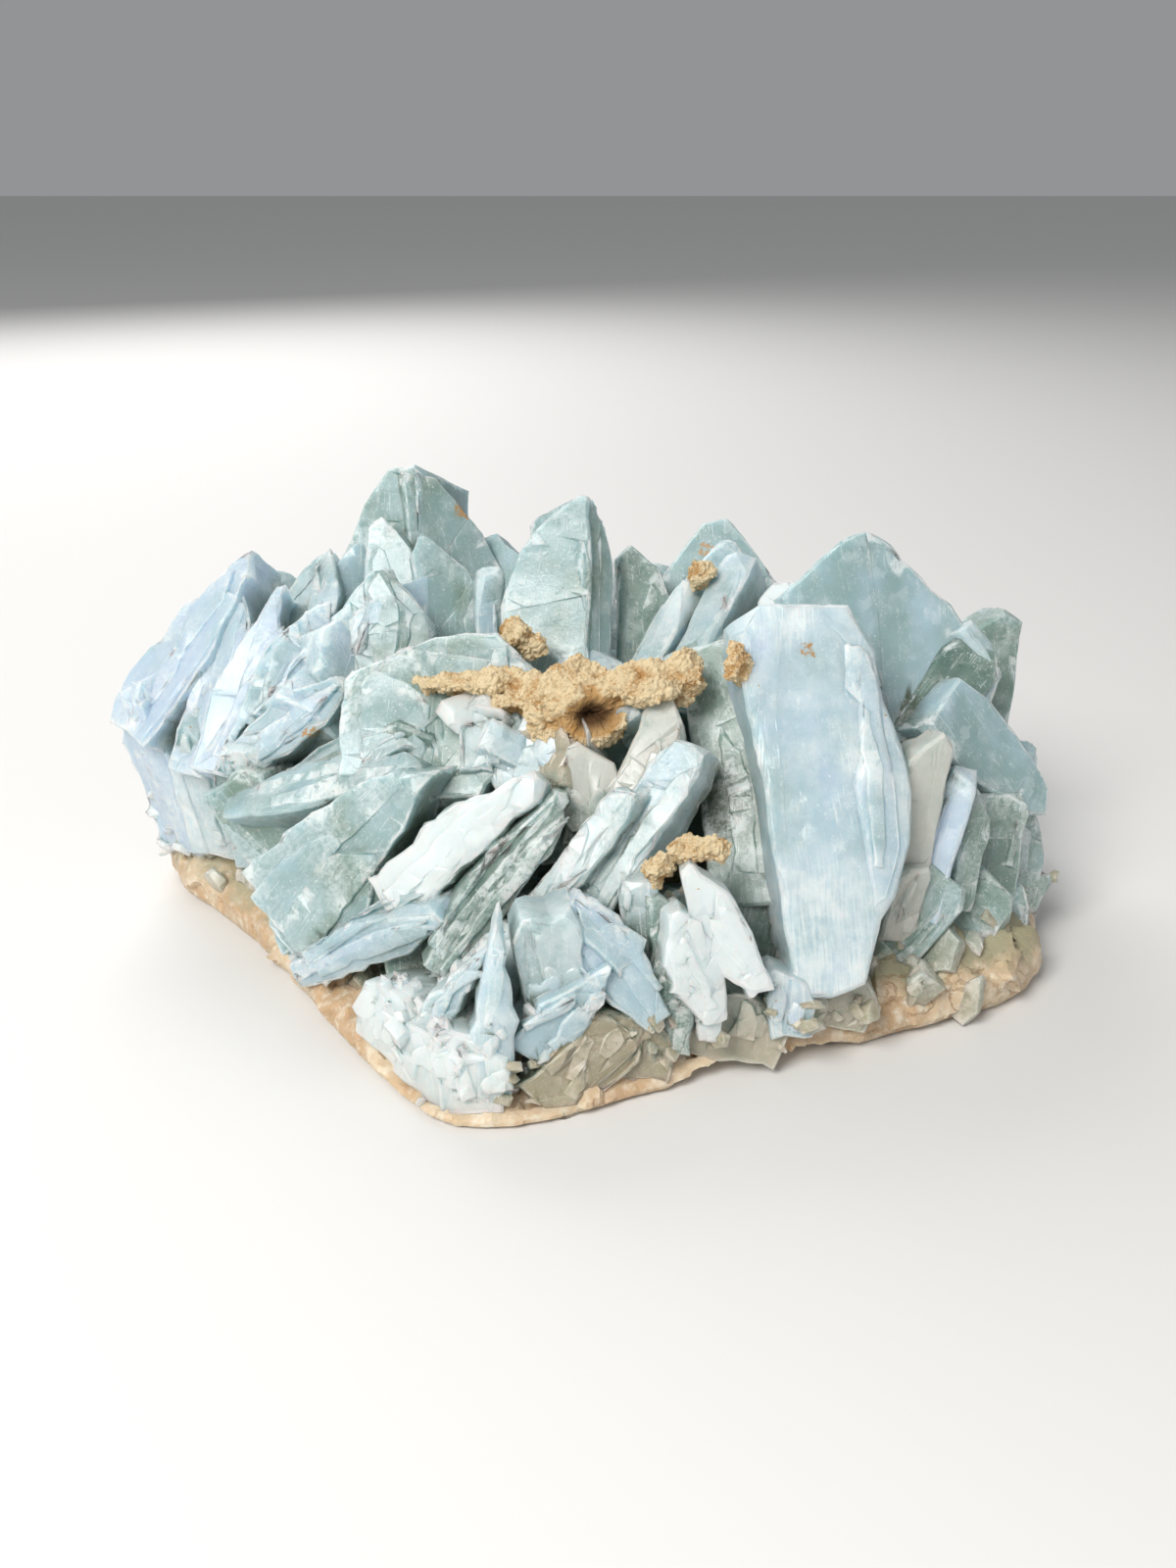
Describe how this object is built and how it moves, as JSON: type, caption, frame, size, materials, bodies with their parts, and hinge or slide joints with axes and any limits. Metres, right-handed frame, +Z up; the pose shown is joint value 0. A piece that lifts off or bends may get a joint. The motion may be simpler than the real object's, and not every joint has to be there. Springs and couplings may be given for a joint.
{
  "type": "blue barite crystal cluster",
  "caption": "Cluster of tabular pale blue barite crystals fanning up from a smooth cream base rock, with small ochre crusts in its hollows; rests on a flat underside.",
  "frame": {"origin": "middle of the underside, on the surface that the specimen rests on", "axes": "+Z up; +X along the longest side, to the right of the showy side; the showy side looks towards -Y"},
  "size_m": [0.1618, 0.1317, 0.0713],
  "materials": {
    "blue_barite": "glassy",
    "cream_rock": "smooth",
    "ochre_crust": "sandy"
  },
  "bodies": {
    "root": {"barite_crystals": "blue_barite", "cream_matrix": "cream_rock", "ochre_crust_main": "ochre_crust", "ochre_crust_ledge": "ochre_crust", "ochre_crust_plate": "ochre_crust", "ochre_crust_hollow": "ochre_crust", "ochre_crust_ridge": "ochre_crust"}
  },
  "joints": []
}
